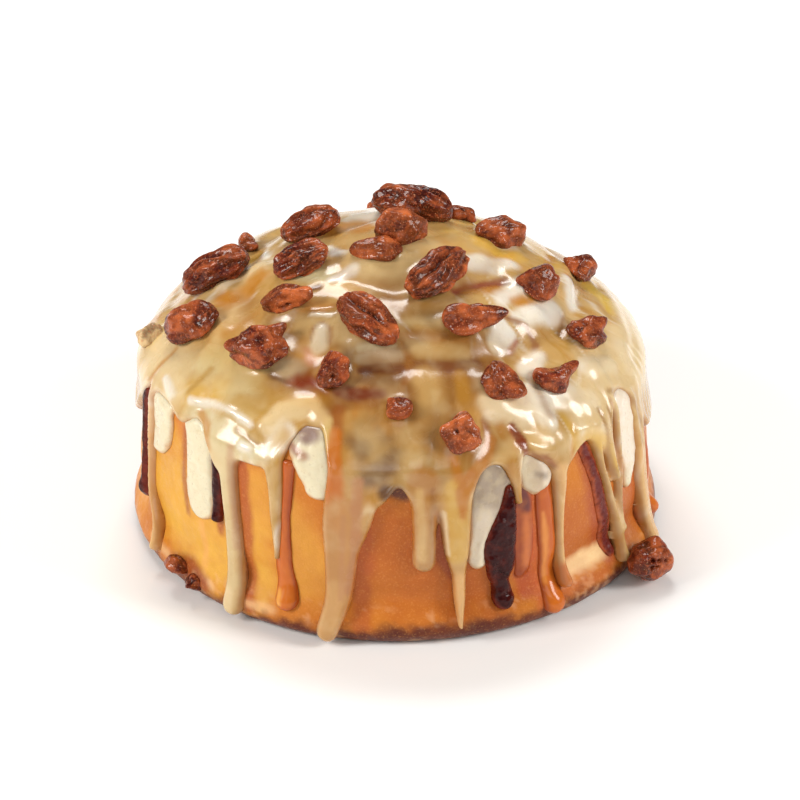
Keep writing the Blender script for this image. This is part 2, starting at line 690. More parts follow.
# %% Pecans in view: azimuth, way, length, width, height, turn towards the foot, whole half
PECANS = (
    (-173, 56.5, 6.5, 5.0, 5.0, 80, False),
    (178, 38.5, 16.5, 9.5, 7.0, -84, True),
    (159, 35, 7.5, 5.0, 4.5, -46, False),
    (164, 18.4, 13.5, 8.0, 6.5, -125, True),
    (-157, 21.3, 12.0, 8.4, 6.0, -77, True),
    (-141, 29.9, 10.8, 6.6, 5.0, -43, False),
    (-162, 46.2, 13.0, 9.6, 7.0, -45, False),
    (-134, 41, 14.8, 10.6, 7.5, -29, False),
    (-102, 29.2, 15.5, 8.6, 6.5, 36, True),
    (-109, 41.4, 9.2, 6.8, 5.5, -84, False),
    (-90, 48.6, 5.6, 5.0, 4.0, 0, False),
    (-64, 18.1, 17.0, 8.4, 7.0, -26, True),
    (-60, 30.5, 13.0, 7.6, 5.5, 9, False),
    (-61, 46.4, 9.6, 8.2, 5.5, 7, False),
    (-44, 49.9, 9.4, 6.6, 5.0, 13, False),
    (-22, 47, 10.4, 7.4, 6.0, 33, False),
    (-18, 32.9, 9.4, 7.8, 6.0, 38, False),
    (13, 43.8, 8.6, 7.0, 6.0, 66, False),
    (-117, 9.5, 11.0, 6.8, 5.0, -15, False),
    (-88, 3.5, 12.0, 7.6, 7.4, 7, False),
    (74, 10.5, 17.5, 8.6, 8.5, 3, True),
    (44, 20, 6.2, 4.6, 4.4, -60, False),
    (17, 24.1, 13.6, 8.6, 6.5, 75, False),
    (-75, 55.1, 8.4, 8.6, 5.0, 2, False),
)
BACK_PECANS, BACK_SEED = 9, 7
BACK_FIRST_AZIMUTH, BACK_AZIMUTH_STEP, BACK_MIDDLE = 42.0, 12.0, 88.0
BACK_WAY, BACK_RISE, BACK_RISE_SPREAD = 66.0, 17.0, 11.0
BACK_FLATNESS, BACK_HALF_LENGTH = 0.7, 12


def pecans_on_top():
    """The pecans in view, then those of the back by the solids' own seeded rule."""
    draw = random.Random(BACK_SEED)
    back = []
    for number in range(BACK_PECANS):
        azimuth = BACK_FIRST_AZIMUTH + number * BACK_AZIMUTH_STEP
        rise = BACK_RISE * math.exp(-(((azimuth - BACK_MIDDLE) / BACK_RISE_SPREAD) ** 2))
        way = BACK_WAY - rise + draw.uniform(-1, 1.5)
        length = draw.uniform(7.5, 14)
        width = length * draw.uniform(0.55, 0.75)
        turn = draw.uniform(-90, 90)
        height = BACK_FLATNESS * width
        back.append((azimuth, way, length, width, height, turn, length > BACK_HALF_LENGTH))
    return list(PECANS) + back


print("pecans on the icing:", len(pecans_on_top()))


# %% [markdown]
# The icing is caramel-coloured where it is thick. Syrup pools on it in amber, milky frosting shows
# through in places, and in the coil's valleys the cinnamon filling darkens it. Its thin edges are
# browner, because the crust shines through. All of that is stored as tones on its points.

# %% Marks on the top: colour, strength, softness: x, y, half width
TOP_MARKS = marks("""
136/92/42 0.8 8: -12 -26 4, -2 -34 7, 4 -48 6
146/102/46 0.7 6: 0 -18 4, 12 -28 6, 16 -40 5
140/84/36 0.7 5: -26 -38 3, -18 -43 3
150/100/48 0.5 5: -30 -28 3, -20 -24 4
cream 0.7 4: -60 -4 4, -57 -14 5, -54 -20 4
milk 0.8 3: -62 -24 4, -57 -30 4
yellow 0.6 2: -56 0 1.2, -55 -6 1.6
amber 0.8 1.5: -60 14 1, -57 5 1.2, -54 -1 0.8
amber 0.7 0.8: -56 -19 0.5, -51 -18 0.5
amber 0.5 1.5: -56 -21 1, -58 -25 1.2
milk 0.8 1.2: -51.8 -26 0.7, -51.3 -30 0.8
khaki 0.8 4: -46 -20 4, -42 -28 4
gold 0.75 4: -46 -32 2, -38 -36 4, -28 -42 3
ochre 0.75 2.5: -35 -39 2.2, -28 -42.5 2, -22 -42 1
ochre 0.7 0.7: -46 -31.2 0.4, -40 -29.4 0.4
amber 0.7 2: -43 -42 1.5, -40 -46 1.5
cream 0.8 3: -44 -46 3, -46 -56 3
amber 0.7 1.5: -48 3 1, -43 3 1
cream 0.85 2.5: -37 0 2.5, -31 -1 3
milk 1 0.8: -34.5 4 0.9, -33.5 0.5 0.9
milk 0.9 0.8: -29 5 0.6, -28 1.5 0.6
amber 0.95 2: -38 -7 1.6, -34 -8.5 3, -29 -6 1.8
amber 0.8 1.5: -36 -11 1.5, -37 -15 1
cream 0.7 3: -36 -15 2, -38 -18 2
milk 1 0.8: -14.5 -1 0.5, -13 -5 1.1, -11 -6.5 0.6
khaki 0.7 3: -10 -10 3, -4 -15 3, 4 -4 4
198/190/150 0.85 2: -20 -11 1.5, -15 -12.5 2
milk 1 1.2: -13.5 -14.5 0.9, -9.5 -12.4 1.1
bark 0.85 0.9: -18.5 -16.3 0.6, -16.5 -16 0.6
khaki 0.8 2: -20 -26 2, -13 -28 3, -9.5 -32 1
toffee 1 0.9: -20 -20.5 0.7, -17 -21.6 1.3, -13.5 -22 0.7
amber 0.6 1.2: -19 -21 1.2, -15 -21.8 1.2
milk 0.9 0.6: -18 -23.6 0.4, -14 -24.8 0.4
amber 0.9 2: -14 6 2.4, -9 8 3, -7 3 2
toffee 0.5 2: -3 -18.5 1.4, 0.5 -23 1.8
toffee 0.9 0.5: -18.6 -30 0.3, -18 -27.4 0.4, -16 -26.2 0.4, -14.4 -28 0.4, -14.6 -31 0.4
232/226/214 0.9 1.2: -16.2 -27.6 1.1, -17.4 -31.4 1.9
206/148/118 0.8 1: -19.6 -31.5 0.6, -18.6 -35 0.8
grey 0.85 1.6: -26.5 -33.5 1.6, -23 -36.5 2.2
bark 0.7 0.7: -28.4 -34.2 0.5, -27.2 -36.6 0.5, -23.5 -39 0.5
rust 1 1.4: -23.4 -38.8 0.8, -20 -40.4 1.8, -17 -42.6 1.6
toffee 0.8 1.6: -17 -45 1, -15.5 -50 1.2
toffee 0.7 1.4: -14 -46.5 1, -5 -47 1
bark 0.6 1.6: -11 -35 0.7, -11 -42 1
202/192/168 0.9 0.6: -8.6 -33.8 0.5, -1 -34.2 0.5
grey 0.9 1: -8 -36 1.2, 0 -36.2 1.2
104/62/60 0.95 0.9: -8 -38.8 0.9, 0.4 -39 1.1
150/118/84 0.9 1: -9 -41.6 1, 0 -41.6 1
126/58/28 1 1: -13 -43.2 1, -8.5 -44.6 1.5, -3.5 -45 0.7
toffee 0.8 0.7: 0.6 -33 0.4, 2.2 -37 0.5, 2.2 -41 0.5, 0.4 -44.6 0.4
gold 0.85 1.8: 18 2 1.5, 25 -0.5 2.4, 28 1 1.5
milk 0.85 1.6: 15 -9 1.75, 20 -6.5 2.35, 25 -4 1.95
rust 1 1: 12.6 -18.4 1, 18 -14.4 1.5, 24 -11 1
amber 0.8 1.4: 15 -18 0.8, 22 -14.4 1.2, 27 -15.6 1.2
milk 0.85 1.6: 23 -18 1.55, 28 -11 2.15
amber 0.8 1.4: 26 -16.6 1, 31.5 -13.6 1.8
milk 0.95 1.8: 28 -21 2.35, 36 -15 2.75
gold 0.85 2.5: 31 16 1.8, 35 6 2
amber 0.8 1: 36 11 0.8, 34.5 4 0.8
milk 0.9 1.4: 40 1 1.45, 40.5 -8 1.55
yellow 0.95 2: 46 7 2, 50 5 2.4, 51 0 1.5
gold 0.7 1.5: 43 -2 1.2, 45 -4 1
cream 0.8 4: 58 12 4, 58 -12 5
toffee 0.8 0.6: 38.6 -14 0.4, 38 -20 0.5
milk 0.7 2: 54 -14 1.95, 56 -18 1.95
gold 0.6 1.5: 46 -21 0.9, 53 -20.5 0.9
milk 0.9 1.4: 44 -27 1.75, 50 -22.5 1.75
toffee 0.45 1.2: 52 -24.5 0.5, 60 -22.5 0.7
milk 1 0.9: 22.4 -25.6 2.15, 24 -28 3.35, 22.6 -30 2.55
168/84/70 0.9 0.7: 27.2 -27.4 0.5, 25.6 -31 0.7
160/104/70 0.9 0.6: 24 -22.6 0.4, 29 -23 0.5, 32 -26 0.6, 31 -29.4 0.4
milk 0.9 1.5: 29 -35 1.55, 32 -30 1.75
toffee 0.75 1.2: 1 -31 0.9, 8 -31.4 1.2, 15 -30.8 0.8
khaki 0.7 1.5: 2 -28.2 1, 14 -28 1
khaki 0.7 1.5: 4 -35 1.2, 15 -34 1
132/84/54 0.9 1: 4 -38.4 0.7, 11 -38.2 0.9, 17.6 -36.4 1.1
khaki 0.85 2.4: 6 -42 2.4, 8 -52 2.6
ochre 0.9 1: 14 -40 1.2, 14.6 -45 1.3
grey 0.6 1.5: 17.5 -38 1, 18 -42 1.2
milk 1 1.2: 29.6 -39.6 1.55, 32.4 -42.6 2.75, 34.8 -45.6 1.95
milk 0.85 1.8: 20 -45.6 1.95, 29 -46.4 2.35
khaki 0.7 3: 33 -50 2.4, 40 -48 2.4
milk 0.95 1.6: 34 -39.6 1.95, 40 -37 2.75, 46 -35 1.85
gold 0.9 1: 46 -42.4 1, 53 -41 1.4, 59 -42 1
amber 0.9 0.7: 41.5 -43 0.5, 44 -51 0.6, 47 -60 0.6
192/96/48 1 0.6: 26 -49.4 0.4, 28 -53 1.4, 30 -55 1
164/104/60 0.9 0.6: 32 -54 0.4, 36 -53 0.5, 41 -53.8 0.5, 44 -57.6 0.5
168/108/52 0.9 0.9: 19.6 -49.6 0.7, 21.6 -54.4 1, 19 -59.6 1.1
milk 0.9 0.8: 29 -54 1.15, 31 -57 1.35
""")
print("marks on the top:", len(TOP_MARKS))

# %% Marks on the shoulder and the drips: colour, strength, softness: azimuth, way, half width
WALL_MARKS = marks("""
cream 0.8 4: -175 56 4, -158 55 4, -150 60 3
228/216/172 0.75 4: -146 48 3, -136 46 4, -130 52 3
232/222/184 0.75 2.4: -140 60 2, -132 60 3, -122 62 2
196/150/62 0.75 2.4: -131 53 1.6, -120 51.4 2.2, -112 48 1.6
yellow 0.6 2: -177 55 2, -173 56 2
amber 0.7 0.7: -160.8 52 0.4, -160.4 60 0.6
milk 0.9 0.8: -155 57.5 0.6, -150 59 0.7
ochre 0.6 0.8: -144.8 50 0.5, -145.6 56 0.5
peach 0.8 1: -158 66 1.2, -157 84 1.2, -152.3 96 1.4
182/156/112 0.9 3: -98 53 3, -94 60 5, -84 62 4
150/108/56 0.6 4: -80 54 4, -70 62 3
116/88/76 0.6 2.2: -101 55.6 1.2, -98.4 57 1.4
116/88/76 0.5 2.2: -95 52.4 1.1, -93 54.6 1.1
108/80/74 0.65 2.2: -96 63 1.4, -92.4 61 1.4, -90 58 1
90/66/72 0.8 1.2: -92.4 66 1.4, -89.6 66 1.2
khaki 0.6 2: -87.6 54 2, -86.6 66 2
172/104/48 0.8 1.4: -105.4 50 1, -105 58 1.6
210/124/24 0.95 1: -105.2 55 1.4, -104.6 60 1.9, -103.6 68 1.9, -103.3 74 0.9
226/206/140 0.9 0.7: -107.4 52 0.8, -107 60 0.8, -106.7 69 0.9
cream 0.85 1.2: -121 56 1.6, -119.5 52 1.8, -113 49.5 2, -108.5 52 1.2
amber 0.7 0.8: -139 58.5 0.5, -136 60 0.9, -134 64 0.7
toffee 0.6 0.7: -128 58.5 0.5, -122 60 0.6
milk 0.8 0.9: -143 57.4 0.5, -137 55.6 0.5, -131 55.4 0.5, -125 56.6 0.5
milk 0.95 0.8: -125.6 61 0.8, -124 61.2 0.8
222/202/154 0.7 2: -131 62 2, -129 74 2, -126 96 2
rose 0.6 0.8: -128 62 0.6, -127.3 72 0.6, -125.4 84 0.7
cream 0.8 0.9: -126.5 95 1.2, -126.5 98 1.2
206/160/106 0.9 2: -102 72 4, -103 96 2.4
226/190/138 0.7 1.4: -102.6 88 1.6, -104 98 2
rose 0.8 0.8: -98.6 64 0.9, -98.6 76 0.9, -99.8 88 0.8
rose 0.5 0.6: -101.4 72 0.4, -101.6 90 0.4
188/140/80 0.9 1.5: -84.8 64 3, -84.6 82 3
cream 0.6 0.8: -85.4 66 0.7, -85.2 80 0.8
toffee 0.7 0.6: -82.7 66 0.5, -82.7 81 0.5
224/190/96 0.85 1.2: -77.6 66 2, -77.8 80 1.8
milk 0.8 0.5: -80.6 71 0.4, -79.8 80 0.4
244/210/164 0.9 1.4: -77.4 86.5 1.4, -77.3 97 1
amber 0.95 0.8: -68 57 1, -70 60.5 1.1, -74 63.5 1.2, -76.4 67 1.2, -76.6 72 0.5
amber 0.8 0.8: -78 59 0.7, -77 64 0.8
milk 0.9 1.8: -66 52 1.5, -60 51 3, -54 52 2.5, -52 57 1
toffee 0.5 1.2: -51 50 0.6, -51.5 56 0.6
cream 0.8 1.5: -68 62 1, -65 60 1.5, -56 60 2
rust 1 0.6: -61.8 55.5 0.4, -61.2 59 1.2, -60.5 64 0.5
milk 0.8 0.6: -62.2 63 0.7, -61.8 67 0.6
toffee 0.7 0.5: -60 61 0.3, -57 64.6 0.4, -53.4 67.5 0.4
peach 0.8 1.2: -52 68 1.4, -53.5 80 1.2, -52.7 93 1.6
206/118/48 0.9 1.2: -53 90 1.6, -52.7 94 2.2
cream 0.8 5: -40 58 5, -25 56 6, -5 60 6
gold 0.7 1.2: -47.5 58 1, -46.5 64 1
gold 0.9 1.2: -43.5 64 0.7, -40 66 1.2, -37.5 68.5 0.9
toffee 0.65 0.5: -37 60 0.4, -36.6 70 0.4, -36 76 0.4
toffee 0.6 0.5: -33.8 61 0.4, -34 76 0.4, -34.6 84 0.4
rose 0.7 0.5: -32 60 0.4, -32.8 70 0.4, -33 80 0.4
toffee 0.65 0.6: -30.8 58.5 0.4, -26 60 0.4, -22 65 0.5, -20.5 70 0.4
peach 0.7 1.2: -22.6 76 1.6, -22 90 1.6, -20 98 1.6
""")
print("marks on the shoulder and the drips:", len(WALL_MARKS))

# %% Thick and thin icing
STANDS_OUT = {
    "milk": 0.4, "cream": 0.25, "grey": 0.15,
    "amber": -0.12, "toffee": -0.25, "rust": -0.3, "bark": -0.3,
}
LEAST_REACH = 0.8


def mark_relief(azimuth, way):
    """Pale icing is thick and stands out; where it is dark the icing is thin and lies lower."""
    lift = np.zeros(np.shape(way))
    for rows, depth_of in ((TOP_MARKS, top_depth), (WALL_MARKS, stroke_depth)):
        for tone, strength, softness, stroke in rows:
            if tone in STANDS_OUT:
                reach = max(softness, LEAST_REACH)
                inside = ramp(depth_of(azimuth, way, stroke), -reach, reach)
                lift += STANDS_OUT[tone] * strength * inside
    return np.clip(lift, -0.6, 0.9)


print("tones that raise or sink the icing:", len(STANDS_OUT))

# %% The icing's depth and thickness
ICING_EDGE, BEAD, STREAM_HEIGHT = 1.8, 0.5, 0.3
MENISCUS, MENISCUS_REACH, UNDER_THE_NUT = 0.55, 1.5, 0.8
SKIRT_TURNS = (-0.9, -0.3, 0.3, 0.9)
WEB = 2.2


def icing_depth(azimuth, way):
    """How far a place lies inside the icing's outline; below zero on bare dough."""
    azimuths, ways = zip(*ICING_SKIRT)
    edges = [np.interp(azimuth + turn, azimuths, ways) for turn in SKIRT_TURNS]
    depth = sum(edges) / len(edges) - way
    for drip in ICING_DRIPS:
        depth = blend_max(depth, stroke_depth(azimuth, way, curved(drip)), WEB)
    return depth


def icing_streams(azimuth, way):
    """Low ridges on the shoulder, where the icing of each drip comes down."""
    ridge = np.zeros(np.shape(way))
    for drip in ICING_DRIPS:
        beside = degrees_between(azimuth, drip[0][0]) * mm_per_degree(way) / (drip[0][2] + 1)
        ridge = np.maximum(ridge, np.exp(-(beside**2)) * ramp(way, 40, 60))
    return ridge


def tip_beads(azimuth, way):
    """The thicker drop at each drip's tip."""
    bead = np.zeros(np.shape(way))
    for drip in ICING_DRIPS:
        tip_azimuth, tip_way, half = drip[-1]
        beside = degrees_between(azimuth, tip_azimuth) * mm_per_degree(tip_way)
        bead = np.maximum(bead, np.exp(-(np.hypot(beside, way - tip_way) / (1.2 * half)) ** 2))
    return bead


def pecan_rims(azimuth, way):
    """The icing that climbs the side of each pecan."""
    x, y = flat_place(azimuth, way)
    rim = np.zeros(np.shape(way))
    for nut_azimuth, nut_way, length, width, _, turn, _ in pecans_on_top():
        nut_x, nut_y = flat_place(nut_azimuth, nut_way)
        heading = math.radians(turn - nut_azimuth)
        along_x, along_y = math.sin(heading), math.cos(heading)
        along = (x - nut_x) * along_x + (y - nut_y) * along_y
        across = (y - nut_y) * along_x - (x - nut_x) * along_y
        stretched = nut_way / max(float(on_form(nut_way, RADIUS)), 0.1)
        outside = np.hypot(along / (length / 2), across / (width / 2)) - UNDER_THE_NUT
        outside = np.maximum(outside, 0) * width / 2 / stretched
        rim = np.maximum(rim, np.exp(-((outside / MENISCUS_REACH) ** 2)))
    return rim


print("icing over the front shoulder:", round(float(icing_depth(-90, 50)), 1), "mm from its edge")

# %% Ropes of icing: height: x, y, half width
ROPES_ON_TOP = table("""
0.6: -46 -33.5 1, -38 -40 1, -30 -47 1
0.5: -31 -48 1.6, -24 -44.5 1.6, -17.5 -46 1.5, -17 -54 1.2, -17.8 -64 1
0.5: -39 4 2.6, -35 -3 3, -30 -3 2.4
0.25: -10 -31.6 0.9, 0 -32.4 1, 2.6 -37 0.9, 1 -42.4 1
0.4: 24 -21.6 0.8, 31 -22.6 0.9, 34 -27 0.9, 31 -32 0.9
0.4: 27 -52 0.7, 33 -52 0.8, 38 -52.4 0.8, 44 -57 0.9
0.5: 44 -43 1, 52 -39 1.2, 60 -43 1.2
0.3: -13 -10 1.6, -4 -13 2, 3 -8 2, 14 1 1.6
0.4: -38 -20 2, -44 -30 2.4, -50 -42 2.4
0.4: 26 4 1.6, 24 -4 1.4, 30 -16 2, 36 -24 2, 40 -32 1.6
0.45: 38 12 1.4, 40 0 1.6, 37 -14 1.6, 43 -22 1.6, 52 -30 1.8
0.4: 50 16 1.6, 53 4 1.6, 54 -12 1.8, 50 -22 1.6
0.4: 4 -42 1.8, 6 -50 2.4, 4 -60 2.4
0.4: 20 -46 1.6, 29 -46 1.8, 38 -46 1.8, 43 -52 1.4
-0.15: -8 -36.5 1.6, 0 -36.5 1.6
-0.4: 20 -28 1.6, 27 -27 1.8
-0.35: 13 -17 0.8, 23 -11 0.8
-0.3: -20 -20.6 0.8, -13.5 -22 0.9
""")
STRANDS = 0.08
VALLEY_LEFT = 0.4


def ropes(azimuth, way):
    """Thick ropes of icing, and the hollows where the coil shows through it."""
    lift = np.zeros(np.shape(way))
    for (height,), stroke in ROPES_ON_TOP:
        lift = lift + float(height) * ramp(top_depth(azimuth, way, curved(stroke)), -1.8, 1.2)
    on_right = ramp(azimuth, -48, -40) * ramp(azimuth, -4, -12) * ramp(way, 52, 62)
    return lift + STRANDS * np.sin(1.9 * azimuth + 1.5 * np.sin(way / 9)) * on_right


def icing_lift(azimuth, way):
    thickness = ICING_ON_DOME + (ICING_ON_WALL - ICING_ON_DOME) * ramp(way, 50, 68)
    thickness += BEAD * tip_beads(azimuth, way) + STREAM_HEIGHT * icing_streams(azimuth, way)
    depth = np.clip(icing_depth(azimuth, way) / ICING_EDGE, 0, 1)
    rounded = np.sqrt(1 - (1 - depth) ** 2)
    filled_valley = -VALLEY_LEFT * COIL_DEPTH * coil_valley(azimuth, way)
    return under_icing(way) + filled_valley + unevenness(azimuth, way) + thickness * rounded


print("icing on the wall:", ICING_ON_WALL, "mm, with beads", BEAD, "mm thicker")

# %% Cutting a sheet to a depth, and doubling it
EDGE_RINGS = (0.0, 0.08, 0.3, 0.7, 1.2)
UNDERSIDE_STEPS = 7


def trim_to(bm, depths, reach):
    """Cuts a flat sheet where its depth is zero, with further rings just inside the edge."""
    for vert, depth in zip(bm.verts, depths):
        vert.co.z = depth
    bmesh.ops.delete(bm, geom=[vert for vert in bm.verts if vert.co.z < -reach], context="VERTS")
    bmesh.ops.triangulate(bm, faces=bm.faces[:])
    for level in EDGE_RINGS:
        bmesh.ops.bisect_plane(
            bm, geom=bm.verts[:] + bm.edges[:] + bm.faces[:], dist=1e-5,
            plane_co=(0, 0, level), plane_no=(0, 0, 1), clear_inner=level == 0,
        )
    for vert in bm.verts:
        vert.co.z = 0
    bmesh.ops.remove_doubles(bm, verts=bm.verts[:], dist=0.06)
    bmesh.ops.triangulate(bm, faces=bm.faces[:])


def double(bm, size, step):
    """Joins a copy to the sheet all round as its top, and makes the underside's faces coarse."""
    def on_line(value):
        steps = (value + size) / step
        return abs(steps - round(steps)) < 1e-3 and round(steps) % UNDERSIDE_STEPS == 0

    for edge in bm.edges:
        a, b = (vert.co for vert in edge.verts)
        edge.seam = any(abs(a[axis] - b[axis]) < 1e-6 and on_line(a[axis]) for axis in (0, 1))
    made = bmesh.ops.extrude_face_region(bm, geom=bm.faces[:], use_keep_orig=True)
    for vert in made["geom"]:
        if isinstance(vert, bmesh.types.BMVert):
            vert.co.z = 1
    below = [vert for vert in bm.verts if vert.co.z < 0.5]
    flat_edges = [edge for edge in bm.edges if all(vert.co.z < 0.5 for vert in edge.verts)]
    bmesh.ops.dissolve_limit(
        bm, angle_limit=0.01, verts=below, edges=flat_edges, delimit={"SEAM"},
    )
    for edge in bm.edges:
        edge.seam = False
    in_line = [vert for vert in bm.verts if len(vert.link_edges) == 2]
    bmesh.ops.dissolve_verts(bm, verts=in_line)
    bmesh.ops.triangulate(bm, faces=bm.faces[:], ngon_method="EAR_CLIP")
    print("edges without two faces:", sum(len(edge.link_faces) != 2 for edge in bm.edges))
    return np.array([vert.co.z > 0.5 for vert in bm.verts])


# %% The icing's mesh
ICING_STEP = 0.58
ICING_END = 101.0
UNDER_SKIN = 0.25

cells = int(2 * ICING_END / ICING_STEP)
bm = bmesh.new()
bmesh.ops.create_grid(bm, x_segments=cells, y_segments=cells, size=ICING_END)
azimuth, way = sheet_places(bm)
trim_to(bm, np.where(way < ICING_END, icing_depth(azimuth, way), -9.0), WEB + 0.3)
on_top = double(bm, ICING_END, 2 * ICING_END / cells)
azimuth, way = sheet_places(bm)
depth = icing_depth(azimuth, way)
rough_points = wrap(azimuth, way, 0)
swell = 0.3 * cloudy(rough_points, 13, 2, seed=4) + 0.05 * cloudy(rough_points, 5.5, 2, seed=5)
flow = (swell - 0.3 + ropes(azimuth, way) + mark_relief(azimuth, way)) * ramp(depth, 0.5, 3.5)
flow = flow + MENISCUS * pecan_rims(azimuth, way) * ramp(depth, 1, 3)
lift = np.where(on_top, icing_lift(azimuth, way) + flow, dough_lift(azimuth, way) - UNDER_SKIN)
points = wrap(azimuth, way, lift)
set_points(bm, points)
face_outwards(bm)
print("icing points:", len(bm.verts))

# %% Icing tones
RADIUS_OF_STREAKS = 52
SYRUP_FILM = np.array([0.87, 0.84, 0.8])
FRONT_SYRUP = np.array([0.13, 0.27, 0.48])
ground = one_tone((204, 164, 100), points)
behind = ramp(np.sin(np.radians(azimuth)) * way, -16, 14)
for tone, size, seed in (("amber", 15, 21), ("milk", 13, 22), ("gold", 19, 23)):
    pools = ramp(cloudy(rough_points, size, 3, seed=seed), 0.18, 0.45)
    ground = over(ground, tone, 0.8 * pools * behind)
flow_places = np.stack([*flat_place(azimuth, RADIUS_OF_STREAKS), 0.14 * way], axis=-1) * MM
for tone, strength, seed in (("cream", 0.5, 24), ("amber", 0.45, 26), ("ochre", 0.35, 27)):
    streaks = ramp(cloudy(flow_places, 3.2, 3, seed=seed), 0.05, 0.45) * ramp(way, 26, 46)
    ground = over(ground, tone, strength * streaks)
folds = cloudy(flow_places * np.array([1, 1, 3]), 9, 2, seed=28)
for tone, level, width in (("ochre", 0.16, 0.05), ("ochre", -0.12, 0.05), ("milk", 0.32, 0.06)):
    veins = np.exp(-(((folds - level) / width) ** 2)) * ramp(way, 14, 30)
    ground = over(ground, tone, 0.6 * veins)
ground = painted(azimuth, way, ground, TOP_MARKS, rough_points, top_depth)
ground = painted(azimuth, way, ground, WALL_MARKS, rough_points)
cinnamon = coil_valley(azimuth, way) * ramp(cloudy(rough_points, 9, 2, seed=25), -0.1, 0.35)
ground = over(ground, "toffee", 0.45 * cinnamon)
ground = over(ground, (188, 120, 58), 0.55 * ramp(depth, 0.9, 0.0)) * SYRUP_FILM
right_of_left_shoulder = 1 - ramp(way, 46, 54) * ramp(azimuth, -104, -114)
to_front = ramp(way, 24, 40) * ramp(azimuth, -176, -150) * ramp(azimuth, -46, -62)
ground = ground * (1 - (to_front * right_of_left_shoulder)[:, None] * FRONT_SYRUP)
print("mean tone of the icing:", ground.mean(axis=0).round(2))

# %% Icing material and object
icing = Recipe(
    "caramel icing", "icing", Roughness=0.26, IOR=1.47, Specular_IOR_Level=0.3,
    Subsurface_Weight=0.12, Subsurface_Scale=0.001, Subsurface_Radius=(1.0, 0.62, 0.3),
    Coat_Weight=0.55, Coat_Roughness=0.17,
)
clouded = icing.speckled(icing.tones(), (236, 216, 168), 6, 2, 0.42, 0.7, 0.15)
icing.use("Base Color", icing.speckled(clouded, (160, 108, 54), 1.1, 3, 0.54, 0.72, 0.08))
icing.uneven_gloss(0.16, 0.3, 5, 2)
icing.bumps((icing.cloud(3.6, 1), 0.05), (icing.cloud(8, 2), 0.2))
glaze = new_piece("icing_run", bm, icing, "icing", ground)
print("icing triangles:", triangles(glaze))

# %% [markdown]
# ## Frosting, filling and syrup
# Under the icing's edge, soft white frosting bulges out, dark cinnamon filling has leaked, and
# syrup ran down the crust. Each is a stroke again, cut from its own small grid in the same way as
# the icing, so one function makes them all and only thickness, lumps and tones differ.

# %% Tongues from root to tip: azimuth, way, half width
FROSTING_TONGUES = strokes("""
-152.8 57 4.2, -152.8 66 4.2, -153.8 70.8 3.3, -155 73 1.8
-139.6 57 4.2, -138.2 68 4.2, -137.6 75 4.3, -137.4 78.9 3.8
-110.8 49 5.2, -109.6 58 5, -107.4 66.2 3.2
-69 60 5.2, -69.4 68 5.2, -71 76 3.8, -72.8 83 2.2
-58.6 61 4, -58 67.6 4.2
-25.5 57 5.4, -25.8 69 5.2, -28 76 2.6, -29.4 79.6 1.5
51 62 4, 50 76 3.4
82 60 4.6, 83 72 3.8, 82 79 2.6
147 60 4.4, 148 76 3.5
""")
FILLING_TONGUES = strokes("""
-163 63 1.7, -163 76 1.1, -163 84 0.9, -163.4 88 1.9
-132.6 66 1.7, -132 80 1.2
-65.2 69 1.4, -66.2 74.6 2.5, -67.9 80 3.7, -68 85 3.3, -67.5 89 2, -67.3 92.8 2.6
-44.4 64 1.6, -41.6 71 1.7, -40 80 1.8, -38.8 87 1.9, -36.8 92.6 1.5
104 62 2.4, 104 82 1.8
""")
SYRUP_TONGUES = strokes("""
-114.6 63 1.6, -114.9 76 1.3, -114.6 86 1.9, -113.9 93 2.6
-61.9 66 2, -62 78 2.3, -62.4 88 1.8
-56.6 70 1.9, -56.4 80 2.2, -56 90 2, -55.6 97 2.6
-15.5 74 1.2, -14.5 86 1.4, -12.5 94.5 2.2
34 64 2, 33 80 1.5, 33 91 2.2
167 62 2, 166 80 1.5, 166 90 2.3
""")
print("tongues:", len(FROSTING_TONGUES + FILLING_TONGUES + SYRUP_TONGUES))


# %% One poured tongue
TONGUE_STEP = 0.42
RAGGED_SIZE = 4


